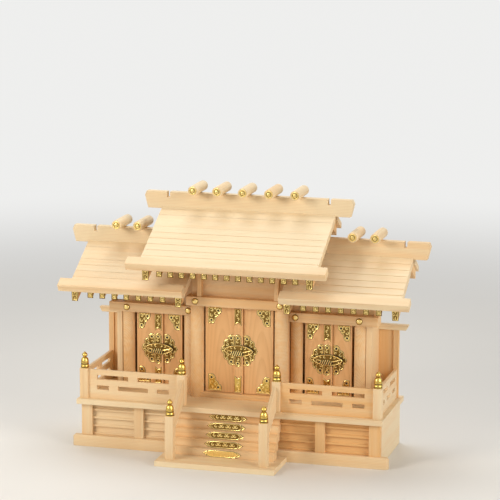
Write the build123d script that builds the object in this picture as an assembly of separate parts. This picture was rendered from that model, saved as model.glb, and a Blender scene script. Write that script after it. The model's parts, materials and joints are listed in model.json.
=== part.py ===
from build123d import *
import os
from math import cos, floor, radians, sin, tan

# A three-shrine household altar of pale cypress with stepped roofs.
# Millimetres. X runs along the front, Y runs from front to back, Z is up.
# The origin lies under the front plinth board, at the middle, on the line of the newel posts.

# Plinth and base box
base_half = 247.0
base_height = 71.0
base_back = 151.0
board = 9.0
plinth_height = 18.5
plinth_front = -9.0
plinth_overhang = 14.0
plinth_end_cut = 3.0
base_post_front = -4.0
base_post_thick = 5.0
corner_post_width = 18.0
mid_post_width = 16.0
mid_post_place = 150.0
siding_thick = 5.0
siding_boards = 4
siding_lap = 1.6

# Veranda deck
deck_overhang = 5.5
deck_front = -13.5
deck_rear_overhang = 2.0
deck_thick = 8.5

# Newel posts and their metal finials
newel_width = 14.0
newel_edge = 1.0
newel_height = 49.5
newel_inset = 10.5
inner_newel_place = 78.5
stair_newel_place = 76.5
stair_newel_line = -71.0
stair_newel_top = 79.5
finial_height = 27.0
finial_radius = 7.0

# Balustrade panels
panel_thick = 5.0
panel_height = 48.0
slot_height = 7.0
upper_slot_rise = 32.0
lower_slot_rise = 15.0
slot_margin = 14.0
slot_bridge = 15.5
slot_short = 20.0

# Stair
stair_base_half = 97.5
stair_base_front = -88.0
stair_base_thick = 8.6
stair_half = 85.0
step_count = 5
step_run = 9.0
step_depth = 18.0
top_riser = -5.0
rail_thick = 6.0
rail_upper = 122.0
rail_lower = 77.0
rail_height = 32.0

# Columns, sills and lintels
centre_column_radius = 11.2
side_column_radius = 10.0
centre_column_place = 70.3
inner_column_place = 89.5
outer_column_place = 194.5
centre_column_line = 61.0
side_column_line = 85.0
centre_column_height = 152.0
side_column_height = 129.5
centre_lintel_height = 15.0
side_lintel_height = 15.5
lintel_reveal = 2.5
centre_lintel_half = 86.0
side_lintel_end = 224.5
sill_height = 8.5
sill_depth = 14.0
sill_inset = 3.0
nail_cover_radius = 5.3
nail_cover_height = 2.6
nail_cover_rim = 0.8

# Walls
wall_thick = 7.0
partition_inside = 72.0
back_wall_front = 144.0
side_wall_front = 80.0
upper_wall_thick = 6.0
upper_wall_end = 202.0
strut_width = 7.0
strut_depth = 9.0
strut_inset = 1.0
centre_strut_place = 64.0

# Side screens at the ends of the veranda
screen_front = 134.0
screen_post_width = 9.0
screen_post_depth = 8.0
screen_panel_thick = 3.0
screen_height = 113.0
screen_cap_height = 9.0
screen_cap_depth = 10.0
screen_cap_overhang = 15.5
screen_cap_slant = 4.0
screen_cap_nose = 2.0

# Roof boards
side_pitch = 30.0
centre_pitch = 28.6
rear_pitch = 31.0
side_eave_line = 5.5
side_eave_height = 251.7
side_rear_eave = 158.5
side_roof_half = 272.5
centre_eave_line = -27.0
centre_eave_height = 300.1
centre_rear_eave = 155.0
centre_roof_half = 145.0
roof_above = 3.2
roof_below = 6.5
rear_board = 8.0
roof_setback = 10.0
course_step = 1.3
course_width = 15.0
eave_board_width = 18.5
eave_board_thick = 12.5
side_eave_overhang = 15.5
centre_eave_overhang = 18.0

# Rafters and their metal caps
rafter_width = 8.0
rafter_fall = 9.0
rafter_setback = 12.3
rear_setback = 8.0
barge_width = 10.0
barge_fall = 15.3
cap_length = 1.6
cap_wall = 0.7
cap_taper = 0.9
side_barge_inner = 89.6
side_barge_outer = 264.0
side_rafters = 7
side_rafter_gap = 20.3
centre_barge_place = 133.8
centre_rafters = 13
centre_rafter_gap = 18.5

# Ridge boards
ridge_middle = 117.0
ridge_thick = 12.6
ridge_lap = 2.0
ridge_height = 27.8
ridge_chamfer = 3.0
ridge_tip_drop = 7.0
ridge_taper = 5.4
side_ridge_end = 300.0
centre_ridge_end = 174.5
notch_width = 5.2
notch_depth = 9.5
notch_from_end = 40.0

# Ridge logs
log_radius = 8.2
log_length = 61.0
log_forward = 2.0
log_edge = 0.8
log_seat = 0.8
log_cap_radius = 6.4
log_cap_thick = 1.2
side_log_places = (179.0, 215.5)
centre_log_places = (-85.5, -45.0, -2.0, 41.5, 84.5)

# Doors
leaf_thick = 6.5
centre_hinge_gap = 2.6
side_hinge_gap = 4.0
door_setback = 2.0
leaf_gap = 0.8
door_clearance = 0.8
stile_width = 14.0
stile_depth = 3.5
pivot_inset = 4.0
pivot_radius = 1.5
pivot_length = 3.5
pivot_clearance = 0.06
pivot_root = 1.0
pivot_hole_spare = 1.0

# Flat metal fittings on the doors
fitting_thick = 0.8
fitting_margin = 1.6
centre_plate_width = 22.6
centre_plate_height = 27.5
centre_plate_margin = 4.6
side_plate_width = 20.0
side_plate_height = 26.0
side_plate_margin = 3.0
medallion_half = 29.3
centre_medallion_rise = 27.8
side_medallion_rise = 26.0
latch_half = 25.0
latch_rise = 8.5
latch_bulge = 2.5
strip_width = 10.5
strip_height = 27.0

deck_half = base_half + deck_overhang
deck_top = base_height + deck_thick
deck_back = base_back + deck_rear_overhang
corner_newel_place = deck_half - newel_inset
newel_top = deck_top + newel_height
panel_top = deck_top + panel_height
base_post_back = base_post_front + base_post_thick
siding_back = base_post_back + siding_lap + siding_thick
centre_lintel_bottom = deck_top + centre_column_height
centre_lintel_top = centre_lintel_bottom + centre_lintel_height
side_lintel_bottom = deck_top + side_column_height
side_lintel_top = side_lintel_bottom + side_lintel_height
partition_outside = partition_inside + wall_thick
side_wall_inside = outer_column_place + side_column_radius
side_wall_outside = side_wall_inside + board
screen_top = deck_top + screen_height
ridge_face = ridge_middle - ridge_thick / 2
ridge_rear = ridge_middle + ridge_thick / 2


def block(x0, x1, y0, y1, z0, z1):
    """A square-cut board between two corners."""
    return Pos((x0 + x1) / 2, (y0 + y1) / 2, (z0 + z1) / 2) * Box(x1 - x0, y1 - y0, z1 - z0)


def along(points, x0, x1):
    """A board whose end outline (Y, Z) runs along X."""
    outline = Plane.YZ.offset(x0) * Polygon(*points, align=None)
    return extrude(outline, amount=x1 - x0, dir=(1, 0, 0))


def across(points, y0, y1):
    """A board whose front outline (X, Z) runs along Y."""
    outline = Plane.XZ.offset(-y0) * Polygon(*points, align=None)
    return extrude(outline, amount=y1 - y0, dir=(0, 1, 0))


def mirrored(solid):
    """The same piece on the other side of the middle."""
    return mirror(solid, about=Plane.YZ)


def both(*solids):
    """The pieces and their mirror images."""
    return [*solids, *[mirrored(s) for s in solids]]


def keep(name, *solids):
    """Write the solids of one named piece."""
    flat = [s for solid in solids for s in solid.solids()]
    shape = flat[0] if len(flat) == 1 else Compound(flat)
    export_step(shape, f"parts/{name}.step")


def plinth():
    """The front ground board, its ends cut back at the top and at the front."""
    x = base_half + plinth_overhang
    bar = block(-x, x, plinth_front, base_post_back, 0, plinth_height)
    ends = bar.faces().sort_by(Axis.X)
    tops = [end.edges().sort_by(Axis.Z)[-1] for end in (ends[0], ends[-1])]
    fronts = [end.edges().sort_by(Axis.Y)[0] for end in (ends[0], ends[-1])]
    return chamfer(tops + fronts, plinth_end_cut)


def base_posts():
    """Four thin posts on the plinth, in front of the siding."""
    y0, y1 = base_post_front, base_post_back
    corner = block(base_half - corner_post_width, base_half, y0, y1, plinth_height, base_height)
    x0 = mid_post_place - mid_post_width / 2
    middle = block(x0, x0 + mid_post_width, y0, y1, plinth_height, base_height)
    return both(corner, middle)


def siding():
    """Lapped boards in one panel, each standing out over the one below."""
    rise = (base_height - plinth_height) / siding_boards
    points = [(siding_back, 0), (base_post_back, 0)]
    for k in range(siding_boards):
        z = plinth_height + k * rise
        points += [(base_post_back, z), (base_post_back + siding_lap, z + rise)]
    points.append((siding_back, base_height))
    return along(points, -base_half, base_half)


def base_sides():
    return both(block(base_half - board, base_half, siding_back, base_back, 0, base_height))


def base_rear():
    x = base_half - board
    return block(-x, x, base_back - board, base_back, 0, base_height)


def deck():
    return block(-deck_half, deck_half, deck_front, deck_back, base_height, deck_top)


def stair_base():
    return block(-stair_base_half, stair_base_half, stair_base_front, plinth_front, 0, stair_base_thick)


def stair_step(k):
    """Board k, counted from the bottom, standing back from the one below."""
    rise = (base_height - stair_base_thick) / step_count
    z = stair_base_thick + k * rise
    front = top_riser - (step_count - 1 - k) * step_run
    back = min(front + step_depth, base_post_back)
    return block(-stair_half, stair_half, front, back, z, z + rise)


def stair_rail():
    """A sloping side board from the lower newel post to the upper one."""
    y0 = stair_newel_line + newel_width / 2
    y1 = -newel_width / 2
    points = [(y0, rail_lower - rail_height), (deck_front, deck_top), (y1, deck_top)]
    points += [(y1, rail_upper), (y0, rail_lower)]
    x = stair_newel_place - rail_thick / 2
    return along(points, x, x + rail_thick)


def newel(x, y, z0, z1):
    half = newel_width / 2
    post = block(x - half, x + half, y - half, y + half, z0, z1)
    return chamfer(post.edges().filter_by(Axis.Z), newel_edge)


def newel_places():
    """Foot and head of each newel post on the right of the middle."""
    return [
        (corner_newel_place, 0.0, deck_top, newel_top),
        (inner_newel_place, 0.0, deck_top, newel_top),
        (stair_newel_place, stair_newel_line, stair_base_thick, stair_newel_top),
    ]


def finial(x, y, z):
    """An onion-shaped cap: a flared skirt, a narrow neck and a pointed bulb."""
    r, h = finial_radius, finial_height
    with BuildPart() as cap:
        with BuildSketch(Plane.XZ):
            with BuildLine():
                Line((0, 0), (r, 0))
                Line((r, 0), (r, 0.07 * h))
                ThreePointArc((r, 0.07 * h), (0.93 * r, 0.34 * h), (0.52 * r, 0.62 * h))
                Line((0.52 * r, 0.62 * h), (0.52 * r, 0.67 * h))
                ThreePointArc((0.52 * r, 0.67 * h), (0.76 * r, 0.80 * h), (0.45 * r, 0.92 * h))
                Line((0.45 * r, 0.92 * h), (0, h))
                Line((0, h), (0, 0))
            make_face()
        revolve(axis=Axis.Z)
    return Pos(x, y, z) * cap.part


def slotted_panel(length):
    """One balustrade panel, lying along X from 0, with two rows of staggered slots."""
    half = panel_thick / 2
    panel = block(0, length, -half, half, deck_top, panel_top)
    inside = length - 2 * slot_margin
    long_slot = (inside - slot_bridge) / 2
    middle_slot = inside - 2 * slot_short - 2 * slot_bridge
    upper, lower = deck_top + upper_slot_rise, deck_top + lower_slot_rise
    runs = [(slot_margin, long_slot, upper)]
    runs.append((slot_margin + long_slot + slot_bridge, long_slot, upper))
    runs.append((slot_margin, slot_short, lower))
    runs.append((slot_margin + slot_short + slot_bridge, middle_slot, lower))
    runs.append((length - slot_margin - slot_short, slot_short, lower))
    for x, width, z in runs:
        panel -= block(x, x + width, -half, half, z, z + slot_height)
    return panel


def front_balustrade():
    x0 = inner_newel_place + newel_width / 2
    x1 = corner_newel_place - newel_width / 2
    return Pos(x0, 0, 0) * slotted_panel(x1 - x0)


def side_balustrade():
    y0 = newel_width / 2
    turn = Pos(corner_newel_place, y0, 0) * Rot(0, 0, 90)
    return turn * slotted_panel(screen_front - y0)


def screen_posts():
    x0 = corner_newel_place - screen_post_width / 2
    y0 = screen_front
    return both(block(x0, x0 + screen_post_width, y0, y0 + screen_post_depth, deck_top, screen_top))


def screen_panels():
    y0 = screen_front + (screen_post_depth - screen_panel_thick) / 2
    x1 = corner_newel_place - screen_post_width / 2
    return both(block(side_wall_outside, x1, y0, y0 + screen_panel_thick, deck_top, screen_top))


def screen_caps():
    """A short beam over each screen, with a slanted nose."""
    y0 = screen_front + (screen_post_depth - screen_cap_depth) / 2
    top = screen_top + screen_cap_height
    end = corner_newel_place + screen_post_width / 2 + screen_cap_overhang
    points = [(side_wall_outside, screen_top), (end - screen_cap_slant, screen_top)]
    points += [(end, top - screen_cap_nose), (end, top), (side_wall_outside, top)]
    return both(across(points, y0, y0 + screen_cap_depth))


def column(x, y, radius, top):
    return Pos(x, y, (deck_top + top) / 2) * Cylinder(radius, top - deck_top)


def columns():
    centre = column(centre_column_place, centre_column_line, centre_column_radius, centre_lintel_bottom)
    solids = [centre]
    for x in (inner_column_place, outer_column_place):
        solids.append(column(x, side_column_line, side_column_radius, side_lintel_bottom))
    return both(*solids)


class Bay:
    """A doorway between two columns, with the sizes of its doors and their fittings."""

    def __init__(self, name, middle, place, line, radius, top, gap):
        self.name, self.middle, self.line, self.radius, self.top = name, middle, line, radius, top
        self.half = place - radius
        self.outer = self.half - gap
        self.door_line = line + door_setback
        self.door_bottom = deck_top + sill_height + door_clearance
        self.door_top = top - door_clearance

    def pivot(self, hand):
        """Place of the door pivot beside the left (-1) or the right (+1) column."""
        return self.middle + hand * (self.outer - pivot_inset), self.door_line

    def plates(self, width, height, margin, rise):
        """Sizes of the corner plates and of half the medallion."""
        self.plate_width, self.plate_height, self.plate_margin = width, height, margin
        self.medallion_rise = rise
        return self


def bays():
    middle = (inner_column_place + outer_column_place) / 2
    place = (outer_column_place - inner_column_place) / 2
    side = (place, side_column_line, side_column_radius, side_lintel_bottom, side_hinge_gap)
    centre = (centre_column_place, centre_column_line, centre_column_radius, centre_lintel_bottom)
    side_plates = (side_plate_width, side_plate_height, side_plate_margin, side_medallion_rise)
    centre_plates = (centre_plate_width, centre_plate_height, centre_plate_margin, centre_medallion_rise)
    return [
        Bay("left", -middle, *side).plates(*side_plates),
        Bay("centre", 0.0, *centre, centre_hinge_gap).plates(*centre_plates),
        Bay("right", middle, *side).plates(*side_plates),
    ]


def pivot_holes(bay, z0, z1):
    """Holes for both pivots of a bay."""
    radius = pivot_radius + pivot_clearance
    places = [bay.pivot(hand) for hand in (-1, 1)]
    return [Pos(x, y, (z0 + z1) / 2) * Cylinder(radius, z1 - z0) for x, y in places]


def sill(bay):
    """The board under a pair of doors, scooped out for the columns."""
    y0 = bay.line - bay.radius + sill_inset
    x = bay.half + bay.radius
    top = deck_top + sill_height
    bar = block(bay.middle - x, bay.middle + x, y0, y0 + sill_depth, deck_top, top)
    for hand in (-1, 1):
        bar -= column(bay.middle + hand * x, bay.line, bay.radius, bay.top)
    for hole in pivot_holes(bay, top - pivot_length - pivot_hole_spare, top):
        bar -= hole
    return bar


def lintel(bay, x0, x1, top):
    """The beam over a pair of doors, resting on the columns."""
    y0 = bay.line - bay.radius - lintel_reveal
    beam = block(x0, x1, y0, bay.line + bay.radius, bay.top, top)
    for hole in pivot_holes(bay, bay.top, bay.top + pivot_length + pivot_hole_spare):
        beam -= hole
    return beam


def nail_cover(x, y, z):
    """A round metal boss with a flat rim and a raised dome."""
    rise = nail_cover_height - nail_cover_rim
    rim = Rot(90, 0, 0) * Cylinder(nail_cover_radius, nail_cover_rim)
    dome = Rot(90, 0, 0) * Cone(0.78 * nail_cover_radius, 0.5 * nail_cover_radius, rise)
    cap = Pos(0, -nail_cover_rim / 2, 0) * rim
    cap += Pos(0, -nail_cover_rim - rise / 2, 0) * dome
    return Pos(x, y, z) * cap


def nail_covers():
    """One boss on the lintels in front of each column."""
    y = centre_column_line - centre_column_radius - lintel_reveal
    z = (centre_lintel_bottom + centre_lintel_top) / 2
    solids = [nail_cover(centre_column_place, y, z)]
    y = side_column_line - side_column_radius - lintel_reveal
    z = (side_lintel_bottom + side_lintel_top) / 2
    solids += [nail_cover(x, y, z) for x in (inner_column_place, outer_column_place)]
    return both(*solids)


class Roof:
    """A front and a rear slope. Heights follow the plane of the eave board's underside."""

    def __init__(self, line, height, pitch, rear_eave):
        self.line, self.height, self.rear_eave = line, height, rear_eave
        self.sin, self.cos, self.tan = sin(radians(pitch)), cos(radians(pitch)), tan(radians(pitch))

    def point(self, s, n):
        """The point s up the slope from the eave and n off the plane."""
        return self.line + s * self.cos - n * self.sin, self.height + s * self.sin + n * self.cos

    def reach(self, n):
        """Distance up the slope from the eave to the ridge board's front face."""
        return (ridge_face - self.line + n * self.sin) / self.cos

    def under(self, y, fall=0.0):
        """Height of the front boards' underside, less a plumb fall."""
        return self.height + (y - self.line) * self.tan - roof_below / self.cos - fall

    def ridge_bottom(self):
        return self.point(self.reach(roof_above), roof_above)[1] - ridge_lap

    def ridge_top(self):
        return self.ridge_bottom() + ridge_height

    def rear_top(self, y):
        """Height of the rear boards' upper face."""
        return self.ridge_bottom() + ridge_lap - (y - ridge_rear) * tan(radians(rear_pitch))

    def rear_under(self, y, fall=0.0):
        """Height of the rear boards' underside, less a plumb fall."""
        return self.rear_top(y) - rear_board / cos(radians(rear_pitch)) - fall


side_roof = Roof(side_eave_line, side_eave_height, side_pitch, side_rear_eave)
centre_roof = Roof(centre_eave_line, centre_eave_height, centre_pitch, centre_rear_eave)


def front_slope(roof, x0, x1):
    """The stepped front slope: overlapping courses on a straight underside."""
    thin, thick = roof_above, roof_above + course_step
    start, end = eave_board_width, roof.reach(roof_above)
    y0 = roof.line + roof_setback
    points = [(y0, roof.under(y0)), (y0, roof.height + roof_setback * roof.tan), roof.point(start, 0)]
    courses = floor((end - start) / course_width)
    for k in range(courses):
        s = start + k * course_width
        points += [roof.point(s, thick), roof.point(s + course_width, thin)]
    points += [roof.point(start + courses * course_width, thick), roof.point(end, thin)]
    points.append((ridge_face, roof.under(ridge_face)))
    return along(points, x0, x1)


def rear_slope(roof, x0, x1):
    """The plain boards behind the ridge."""
    y0, y1 = ridge_rear, roof.rear_eave
    points = [(y0, roof.rear_under(y0)), (y1, roof.rear_under(y1))]
    points += [(y1, roof.rear_top(y1)), (y0, roof.rear_top(y0))]
    return along(points, x0, x1)


def eave_board(roof, x0, x1):
    w, t = eave_board_width, eave_board_thick
    corners = [(0, 0), (w, 0), (w, t), (0, t)]
    return along([roof.point(s, n) for s, n in corners], x0, x1)


def rafter(roof, x, width, fall):
    """A rafter under the front boards, cut plumb at both ends."""
    y0, y1 = roof.line + rafter_setback, ridge_face
    points = [(y0, roof.under(y0)), (y0, roof.under(y0, fall))]
    points += [(y1, roof.under(y1, fall)), (y1, roof.under(y1))]
    return along(points, x - width / 2, x + width / 2)


def rear_rafter(roof, x, width, fall):
    """A rafter under the rear boards, cut plumb at both ends."""
    y0, y1 = ridge_rear, roof.rear_eave - rear_setback
    points = [(y0, roof.rear_under(y0)), (y0, roof.rear_under(y0, fall))]
    points += [(y1, roof.rear_under(y1, fall)), (y1, roof.rear_under(y1))]
    return along(points, x - width / 2, x + width / 2)


def rafter_cap(roof, x, width, fall):
    """A metal cap on a rafter's front end, wider at the top than at the bottom."""
    y0 = roof.line + rafter_setback - cap_length
    top, low = width / 2 + cap_wall, width / 2 + cap_wall - cap_taper
    z0, z1 = roof.under(y0, fall + cap_wall), roof.under(y0)
    points = [(x - top, z1), (x + top, z1), (x + low, z0), (x - low, z0)]
    return across(points, y0, y0 + cap_length)


def side_rows():
    """Roof, place, width and depth of each rafter under the right roof."""
    middle = (side_barge_inner + side_barge_outer) / 2
    first = middle - (side_rafters - 1) / 2 * side_rafter_gap
    rows = [(side_roof, x, barge_width, barge_fall) for x in (side_barge_inner, side_barge_outer)]
    for k in range(side_rafters):
        rows.append((side_roof, first + k * side_rafter_gap, rafter_width, rafter_fall))
    return rows


def centre_rows():
    """The same for the middle roof."""
    rows = [(centre_roof, hand * centre_barge_place, barge_width, barge_fall) for hand in (-1, 1)]
    first = -(centre_rafters - 1) / 2 * centre_rafter_gap
    for k in range(centre_rafters):
        rows.append((centre_roof, first + k * centre_rafter_gap, rafter_width, rafter_fall))
    return rows


def rear_row(roof, x, width, fall):
    """The inner barge rafters are shallow behind the ridge, where they meet the back wall."""
    return roof, x, width, rafter_fall if x == side_barge_inner else fall


def ridge_board(roof, x0, x1):
    """A ridge board with a shaped, notched end on the right."""
    z0, z1 = roof.ridge_bottom(), roof.ridge_top()
    points = [(x0, z0), (x1 - ridge_taper, z0), (x1, z1 - ridge_tip_drop)]
    points += [(x1 - ridge_chamfer, z1), (x0, z1)]
    bar = across(points, ridge_face, ridge_rear)
    middle, half = x1 - notch_from_end, notch_width / 2
    return bar - block(middle - half, middle + half, ridge_face, ridge_rear, z1 - notch_depth, z1)


def ridge_log(x, z):
    """A round log lying across the ridge, with a shallow flat where it rests."""
    log = Cylinder(log_radius, log_length)
    log = chamfer(log.edges().filter_by(GeomType.CIRCLE), log_edge)
    log = Pos(x, ridge_middle - log_forward, z + log_radius - log_seat) * Rot(90, 0, 0) * log
    return log - block(x - log_radius, x + log_radius, ridge_face, ridge_rear, z - log_radius, z)


def log_cap(x, z):
    """A round metal plate on the front end of a ridge log."""
    y = ridge_middle - log_forward - log_length / 2 - log_cap_thick / 2
    plate = Cylinder(log_cap_radius, log_cap_thick)
    return Pos(x, y, z + log_radius - log_seat) * Rot(90, 0, 0) * plate


def log_places():
    """Where the ridge logs lie: X and the height of the ridge board's top."""
    side = [(hand * x, side_roof.ridge_top()) for x in side_log_places for hand in (-1, 1)]
    return side + [(x, centre_roof.ridge_top()) for x in centre_log_places]


def partition():
    """The wall between the middle shrine and a side shrine, up to the middle roof."""
    roof, y1 = centre_roof, back_wall_front
    y0 = centre_column_line + centre_column_radius
    step = centre_column_line + upper_wall_thick / 2
    points = [(y0, deck_top), (y1, deck_top), (y1, roof.rear_under(y1, rafter_fall))]
    points.append((ridge_rear, roof.rear_under(ridge_rear, rafter_fall)))
    points.append((ridge_face, roof.under(ridge_face, rafter_fall)))
    points.append((step, roof.under(step, rafter_fall)))
    points += [(step, centre_lintel_top), (y0, centre_lintel_top)]
    return along(points, partition_inside, partition_outside)


def side_wall():
    x0, x1 = side_wall_inside, side_wall_outside
    return block(x0, x1, side_wall_front, back_wall_front, deck_top, side_lintel_bottom)


def back_walls():
    """The back wall up to the side roofs, and the part of it under the middle roof."""
    y0, y1 = back_wall_front, back_wall_front + wall_thick
    z1 = side_roof.rear_under(y1, rafter_fall)
    z2 = centre_roof.rear_under(y1, rafter_fall)
    low = block(-side_wall_outside, side_wall_outside, y0, y1, deck_top, z1)
    high = block(-partition_outside, partition_outside, y0, y1, z1, z2)
    return low, high


def upper_wall(roof, line, bottom, x0, x1, fall):
    """A thin wall on a lintel, its top cut to the rafters."""
    y0, y1 = line - upper_wall_thick / 2, line + upper_wall_thick / 2
    points = [(y0, bottom), (y1, bottom), (y1, roof.under(y1, fall)), (y0, roof.under(y0, fall))]
    return along(points, x0, x1)


def upper_walls():
    """The thin walls over the three doorways."""
    x0 = side_barge_inner + barge_width / 2
    place = (side_roof, side_column_line, side_lintel_top)
    side = upper_wall(*place, x0, upper_wall_end, rafter_fall)
    side += upper_wall(*place, partition_outside, x0, barge_fall)
    place = (centre_roof, centre_column_line, centre_lintel_top)
    x = partition_outside
    return [upper_wall(*place, -x, x, rafter_fall), *both(side)]


def struts():
    """Short posts on the lintels, up to the rafters."""
    y1 = centre_column_line - upper_wall_thick / 2
    y0 = y1 - strut_depth
    x0 = centre_strut_place - strut_width / 2
    top = centre_roof.under(y0, rafter_fall)
    centre = block(x0, x0 + strut_width, y0, y1, centre_lintel_top, top)
    y0 = side_column_line - upper_wall_thick / 2
    x1 = side_lintel_end - strut_inset
    top = side_roof.under(y0, rafter_fall)
    side = block(x1 - strut_width, x1, y0, y0 + strut_depth, side_lintel_top, top)
    return both(centre, side)


def door_leaf(bay, hand):
    """A leaf hung on pins. The left one carries the closing stile."""
    z0, z1, middle, half = bay.door_bottom, bay.door_top, bay.middle, stile_width / 2
    y0, y1 = bay.door_line - leaf_thick / 2, bay.door_line + leaf_thick / 2
    if hand < 0:
        leaf = block(middle - bay.outer, middle + half, y0, y1, z0, z1)
        leaf += block(middle - half, middle + half, y0 - stile_depth, y0, z0, z1)
    else:
        leaf = block(middle + half + leaf_gap, middle + bay.outer, y0, y1, z0, z1)
    x, y = bay.pivot(hand)
    length = pivot_root + door_clearance + pivot_length
    for z, way in ((z0, -1), (z1, 1)):
        leaf += Pos(x, y, z + way * (length / 2 - pivot_root)) * Cylinder(pivot_radius, length)
    return leaf


def corner_plates(bay, hand):
    """Plates with a stepped inner edge in the leaf's two outer corners."""
    front = bay.door_line - leaf_thick / 2
    x = bay.middle + hand * (bay.outer - bay.plate_margin)
    w, h = hand * bay.plate_width, bay.plate_height
    solids = []
    for z, way in ((bay.door_bottom + fitting_margin, 1), (bay.door_top - fitting_margin, -1)):
        points = [(x, z), (x - w, z), (x - w, z + way * 0.3 * h), (x - 0.65 * w, z + way * 0.55 * h)]
        points += [(x - 0.35 * w, z + way * h), (x, z + way * h)]
        solids.append(across(points, front - fitting_thick, front))
    return solids


def medallion(bay, hand):
    """The part of the round middle ornament on one leaf, with its share of the raised latch."""
    front = bay.door_line - leaf_thick / 2
    middle, z = bay.middle, (bay.door_bottom + bay.door_top) / 2
    face = Plane.XZ.offset(fitting_thick - front) * Ellipse(medallion_half, bay.medallion_rise)
    plate = Pos(middle, 0, z) * extrude(face, amount=fitting_thick, dir=(0, 1, 0))
    bulge = stile_depth + fitting_thick + latch_bulge
    face = Plane.XZ.offset(bulge - front) * Ellipse(latch_half, latch_rise)
    latch = Pos(middle, 0, z) * extrude(face, amount=bulge, dir=(0, 1, 0))
    inner = middle + hand * (stile_width / 2 + leaf_gap)
    outer = middle + hand * medallion_half
    rise = bay.medallion_rise
    zone = block(min(inner, outer), max(inner, outer), front - bulge, front, z - rise, z + rise)
    return (plate + latch) & zone


def stile_plates(bay):
    """Strips at the ends of the closing stile, and its middle plate with the latch."""
    front = bay.door_line - leaf_thick / 2 - stile_depth
    x0, x1 = bay.middle - strip_width / 2, bay.middle + strip_width / 2
    solids = []
    for z in (bay.door_bottom + fitting_margin, bay.door_top - fitting_margin - strip_height):
        solids.append(block(x0, x1, front - fitting_thick, front, z, z + strip_height))
    z, rise = (bay.door_bottom + bay.door_top) / 2, bay.medallion_rise
    plate = block(x0, x1, front - fitting_thick, front, z - rise, z + rise)
    bulge = fitting_thick + latch_bulge
    face = Plane.XZ.offset(bulge - front) * Ellipse(latch_half, latch_rise)
    latch = Pos(bay.middle, 0, z) * extrude(face, amount=bulge, dir=(0, 1, 0))
    half = stile_width / 2
    zone = block(bay.middle - half, bay.middle + half, front - bulge, front, z - rise, z + rise)
    return [*solids, plate + (latch & zone)]


def door_fittings(bay, hand):
    """All the flat metalwork of one leaf."""
    solids = [*corner_plates(bay, hand), medallion(bay, hand)]
    return solids + stile_plates(bay) if hand < 0 else solids


os.makedirs("parts", exist_ok=True)

keep("plinth", plinth())
keep("base_posts", *base_posts())
keep("base_siding", siding())
keep("base_sides", *base_sides())
keep("base_back", base_rear())
keep("deck", deck())
keep("stair_base_board", stair_base())
for k in range(step_count):
    keep(f"stair_step_{k + 1}", stair_step(k))
keep("stair_rails", *both(stair_rail()))
keep("newel_posts", *both(*[newel(*place) for place in newel_places()]))
keep("newel_finials", *both(*[finial(x, y, top) for x, y, foot, top in newel_places()]))
keep("balustrade_front", *both(front_balustrade()))
keep("balustrade_side", *both(side_balustrade()))
keep("screen_posts", *screen_posts())
keep("screen_panels", *screen_panels())
keep("screen_caps", *screen_caps())
keep("columns", *columns())
keep("nail_covers", *nail_covers())

left_bay, centre_bay, right_bay = bays()
keep("door_sills", *[sill(bay) for bay in bays()])
left_lintel = lintel(left_bay, -side_lintel_end, -partition_outside, side_lintel_top)
centre_lintel = lintel(centre_bay, -centre_lintel_half, centre_lintel_half, centre_lintel_top)
right_lintel = lintel(right_bay, partition_outside, side_lintel_end, side_lintel_top)
keep("lintels", left_lintel, centre_lintel, right_lintel)
for bay in bays():
    for hand, side in ((-1, "left"), (1, "right")):
        keep(f"door_{bay.name}_{side}_leaf", door_leaf(bay, hand))
        keep(f"door_{bay.name}_{side}_fittings", *door_fittings(bay, hand))

keep("partition_walls", *both(partition()))
keep("side_walls", *both(side_wall()))
back_low, back_high = back_walls()
keep("back_wall", back_low)
keep("back_wall_upper", back_high)
keep("upper_walls", *upper_walls())
keep("struts", *struts())

right_boards = [slope(side_roof, partition_outside, side_roof_half) for slope in (front_slope, rear_slope)]
keep("roof_right", *right_boards)
keep("roof_left", *[mirrored(boards) for boards in right_boards])
centre_span = (centre_roof, -centre_roof_half, centre_roof_half)
keep("roof_centre", front_slope(*centre_span), rear_slope(*centre_span))
side_eave = eave_board(side_roof, partition_outside, side_roof_half + side_eave_overhang)
eave_half = centre_roof_half + centre_eave_overhang
keep("eave_boards", eave_board(centre_roof, -eave_half, eave_half), *both(side_eave))

front_rafters = both(*[rafter(*row) for row in side_rows()])
keep("rafters_front", *front_rafters, *[rafter(*row) for row in centre_rows()])
rear_rafters = both(*[rear_rafter(*rear_row(*row)) for row in side_rows()])
keep("rafters_rear", *rear_rafters, *[rear_rafter(*row) for row in centre_rows()])
caps = both(*[rafter_cap(*row) for row in side_rows()])
keep("rafter_caps", *caps, *[rafter_cap(*row) for row in centre_rows()])

side_ridge = ridge_board(side_roof, partition_outside, side_ridge_end)
half_ridge = ridge_board(centre_roof, 0, centre_ridge_end)
keep("ridge_boards", half_ridge + mirrored(half_ridge), *both(side_ridge))
keep("ridge_logs", *[ridge_log(x, z) for x, z in log_places()])
keep("log_caps", *[log_cap(x, z) for x, z in log_places()])
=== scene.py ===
# %% [markdown]
# # A household altar shrine in bare cypress
# The object is a small wooden building with three chambers, a stepped roof, a veranda with
# slotted balustrades and a stair. Its boards are planed and left bare, and its fittings are
# gilded pressings. The solids already have every dimension, so this lesson adds what they
# can't show: softened board edges, grain that follows each board, and chased metalwork.

# %% Load the frame
import json
import math
import random
import bmesh
import bpy
from mathutils import Matrix, Vector


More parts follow.
